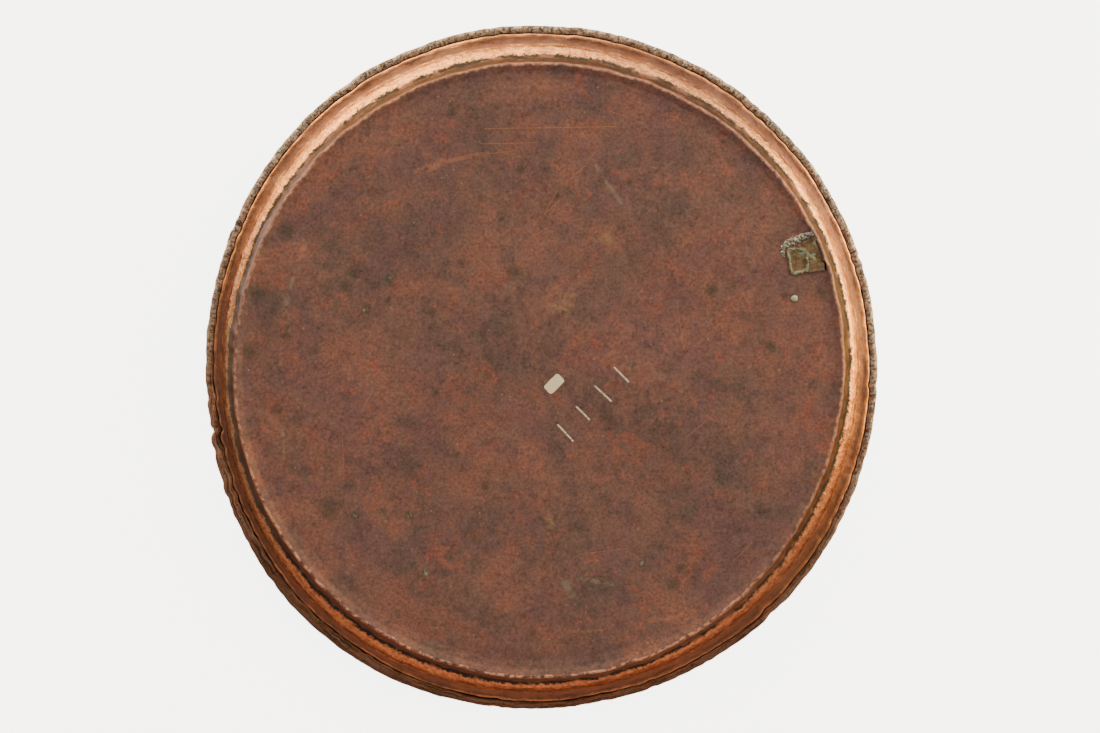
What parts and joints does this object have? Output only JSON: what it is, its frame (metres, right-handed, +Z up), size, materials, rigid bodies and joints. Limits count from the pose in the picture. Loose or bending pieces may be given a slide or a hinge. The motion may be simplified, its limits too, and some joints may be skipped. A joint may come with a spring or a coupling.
{
  "type": "serving tray",
  "caption": "Large round hammered copper serving tray with a stepped, flared wall and a wired, rolled hem, mended near the base corner.",
  "frame": {"origin": "middle of the bounding box at the bottom, on the plane that the tray stands on", "axes": "+Z up out of the open side; +Y along the tray's slightly longer diameter; the repair is towards -X and +Y"},
  "size_m": [0.5924, 0.6036, 0.034],
  "materials": {
    "aged_copper": "hammered copper with a dark red-brown patina, worn bright on the cove, corner and hem",
    "iron_wire": "rusty black iron wire",
    "patch_copper": "dull brown copper plate with verdigris",
    "patch_bronze": "dull bronze with grey-green verdigris",
    "strip_bronze": "dull brown bronze",
    "lead_solder": "lumpy grey tin-lead solder",
    "verdigris_copper": "copper under pale green verdigris",
    "label_paper": "matt beige paper, blank"
  },
  "bodies": {
    "root": {"tray_sheet": "aged_copper", "rim_wire": "iron_wire", "patch_plate": "patch_copper", "patch_frame": "patch_bronze", "patch_strip": "strip_bronze", "patch_solder": "lead_solder", "plug_rivet": "verdigris_copper", "paper_label": "label_paper"}
  },
  "joints": []
}
